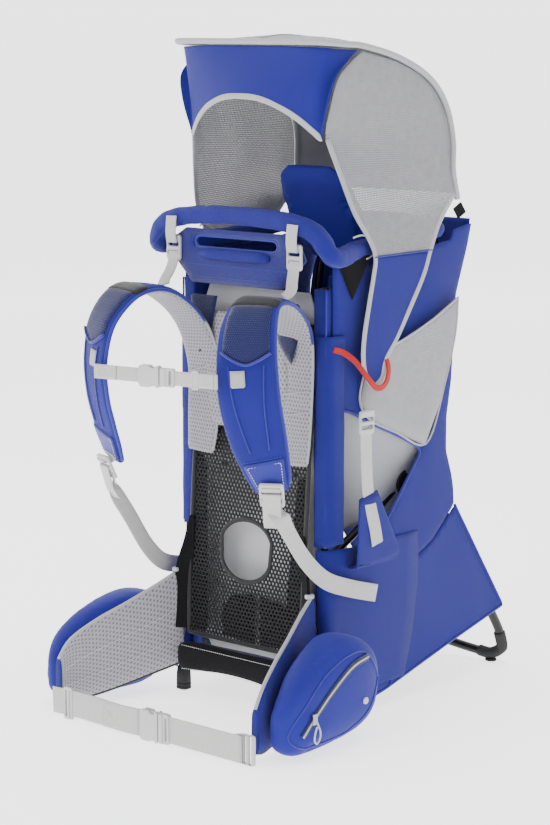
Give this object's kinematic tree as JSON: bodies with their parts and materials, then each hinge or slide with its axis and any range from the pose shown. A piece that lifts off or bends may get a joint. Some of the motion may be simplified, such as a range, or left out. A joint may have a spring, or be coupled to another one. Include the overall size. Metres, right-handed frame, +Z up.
{
  "type": "baby carrier backpack",
  "caption": "Framed child-carrier backpack with padded harness and hip belt, child cockpit, folding sunshade and a fold-out stand.",
  "frame": {"origin": "centre of the bounding box's bottom, on the floor that the pack stands on", "axes": "+Z up, -Y towards the wearer, +Y towards the back of the pack, +X to the right when looking along +Y at the wearer's side"},
  "size_m": [0.501, 0.6705, 0.9588],
  "materials": {
    "blue_fabric": "matte",
    "gray_mesh": "matte",
    "black_mesh": "matte",
    "black_fabric": "matte",
    "gray_lining": "matte",
    "webbing": "matte",
    "pale_plastic": "satin",
    "board": "satin",
    "black_tube": "satin",
    "black_rubber": "matte"
  },
  "bodies": {
    "pack": {"main_frame_tube": "black_tube", "rear_hoop_tube": "black_tube", "stand_hub_left": "black_rubber", "stand_hub_right": "black_rubber", "front_foot_left": "black_rubber", "front_foot_right": "black_rubber", "back_board": "board", "back_mesh": "black_mesh", "lumbar_pad": "black_fabric", "upright_sleeve_left": "blue_fabric", "upright_sleeve_right": "blue_fabric", "top_board": "blue_fabric", "cockpit_rim": "blue_fabric", "side_panel_left": "blue_fabric", "side_panel_right": "blue_fabric", "rear_panel": "blue_fabric", "cockpit_floor": "gray_lining", "headrest_pad": "blue_fabric", "child_harness": "blue_fabric", "side_pocket_left": "gray_mesh", "side_pocket_right": "gray_mesh", "gusset_left": "blue_fabric", "gusset_right": "blue_fabric", "lifter_lock_left": "pale_plastic", "lifter_lock_right": "pale_plastic", "lifter_webbing_left": "webbing", "lifter_webbing_right": "webbing", "lower_webbing_left": "webbing", "lower_webbing_right": "webbing", "stirrup_lock_left": "pale_plastic", "stirrup_lock_right": "pale_plastic"},
    "kickstand": {"kickstand_tube": "black_tube", "stand_foot_left": "black_rubber", "stand_foot_right": "black_rubber", "stand_cover": "blue_fabric"},
    "sunshade": {"shade_wire": "gray_mesh", "shade_top": "gray_lining", "shade_side_left": "gray_mesh", "shade_side_right": "gray_mesh", "shade_visor": "blue_fabric"},
    "child_seat": {"seat_pad": "gray_lining"},
    "harness": {"shoulder_harness_left": "blue_fabric", "shoulder_harness_right": "blue_fabric", "strap_lock_left": "pale_plastic", "strap_lock_right": "pale_plastic"},
    "sternum_strap": {"sternum_socket_strap": "pale_plastic"},
    "sternum_tongue": {"sternum_tongue_strap": "pale_plastic"},
    "hip_belt": {"hip_fin_left": "blue_fabric", "hip_fin_right": "blue_fabric", "hip_pocket_left": "blue_fabric", "hip_pocket_right": "blue_fabric", "belt_socket_strap": "pale_plastic", "belt_ladder_lock": "pale_plastic"},
    "hip_tongue": {"belt_tongue_strap": "pale_plastic"},
    "prong_upper": {"buckle_prong_upper": "pale_plastic"},
    "prong_lower": {"buckle_prong_lower": "pale_plastic"},
    "zip_left": {"zip_slider_left": "pale_plastic"},
    "zip_right": {"zip_slider_right": "pale_plastic"},
    "stirrup_left": {"stirrup_flap_left": "blue_fabric"},
    "stirrup_right": {"stirrup_flap_right": "blue_fabric"}
  },
  "joints": [
    {"name": "kickstand_fold", "type": "hinge", "parent": "pack", "child": "kickstand", "pos_m": [0, 0.0978, 0.315], "axis": [1, 0, 0], "range_deg": [-50, 0], "deforming": ["gusset_left", "gusset_right"]},
    {"name": "sunshade_fold", "type": "hinge", "parent": "pack", "child": "sunshade", "pos_m": [0, 0.1708, 0.72], "axis": [1, 0, 0], "range_deg": [-90, 0], "deforming": ["shade_side_left", "shade_side_right"]},
    {"name": "seat_height", "type": "slide", "parent": "pack", "child": "child_seat", "axis": [0, 0, 1], "range_m": [0, 0.06]},
    {"name": "torso_adjust", "type": "slide", "parent": "pack", "child": "harness", "axis": [0, 0.0663, 0.9978], "range_m": [-0.07, 0], "deforming": ["lifter_webbing_left", "lifter_webbing_right", "lower_webbing_left", "lower_webbing_right"]},
    {"name": "sternum_height", "type": "slide", "parent": "harness", "child": "sternum_strap", "axis": [0, 0, 1], "range_m": [-0.04, 0.03]},
    {"name": "sternum_release", "type": "slide", "parent": "sternum_strap", "child": "sternum_tongue", "axis": [0.9854, 0.1702, 0], "range_m": [0, 0.025]},
    {"name": "hip_belt_extend", "type": "slide", "parent": "pack", "child": "hip_belt", "axis": [0, -1, 0], "range_m": [0, 0.05]},
    {"name": "hip_buckle_release", "type": "slide", "parent": "hip_belt", "child": "hip_tongue", "axis": [1, 0, 0], "range_m": [0, 0.035]},
    {"name": "prong_upper_press", "type": "slide", "parent": "hip_tongue", "child": "prong_upper", "axis": [0, 0, -1], "range_m": [0, 0.0025], "stiffness_N_per_m": 1500},
    {"name": "prong_lower_press", "type": "slide", "parent": "hip_tongue", "child": "prong_lower", "axis": [0, 0, 1], "range_m": [0, 0.0025], "stiffness_N_per_m": 1500},
    {"name": "zip_left_slide", "type": "slide", "parent": "hip_belt", "child": "zip_left", "axis": [0, 0.2873, 0.9578], "range_m": [0, 0.045]},
    {"name": "zip_right_slide", "type": "slide", "parent": "hip_belt", "child": "zip_right", "axis": [0, 0.2873, 0.9578], "range_m": [0, 0.045]},
    {"name": "stirrup_left_height", "type": "slide", "parent": "pack", "child": "stirrup_left", "axis": [0, 0, 1], "range_m": [0, 0.05]},
    {"name": "stirrup_right_height", "type": "slide", "parent": "pack", "child": "stirrup_right", "axis": [0, 0, 1], "range_m": [0, 0.05]}
  ]
}
